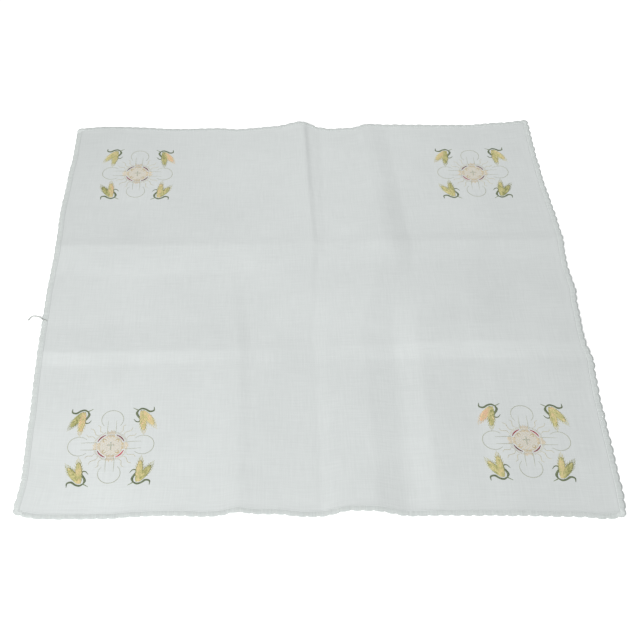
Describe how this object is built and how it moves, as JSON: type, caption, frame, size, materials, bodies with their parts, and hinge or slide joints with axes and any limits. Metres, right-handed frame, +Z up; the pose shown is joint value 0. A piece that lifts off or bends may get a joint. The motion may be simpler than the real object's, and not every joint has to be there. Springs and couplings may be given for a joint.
{
  "type": "altar cloth",
  "caption": "Square linen altar cloth with a narrow scalloped edging and an embroidered cross and wheat motif in each corner, lying flat with soft fold creases.",
  "frame": {"origin": "on the surface the cloth lies on, under the middle of its outline", "axes": "+X runs along the front edge to the right as the cloth is read, +Y from the front edge to the back edge, +Z up out of the face side"},
  "size_m": [0.5228, 0.509, 0.0056],
  "materials": {
    "linen": "plain-weave linen, cool greyish white, matt, softly creased from its folds",
    "edging": "white cotton scalloped edging, matt",
    "embroidery": "satin-stitched rayon thread in old gold, olive, dark green, peach and red"
  },
  "bodies": {
    "root": {"linen_ground": "linen", "edging_front": "edging", "edging_right": "edging", "edging_back": "edging", "edging_left": "edging"}
  },
  "joints": []
}
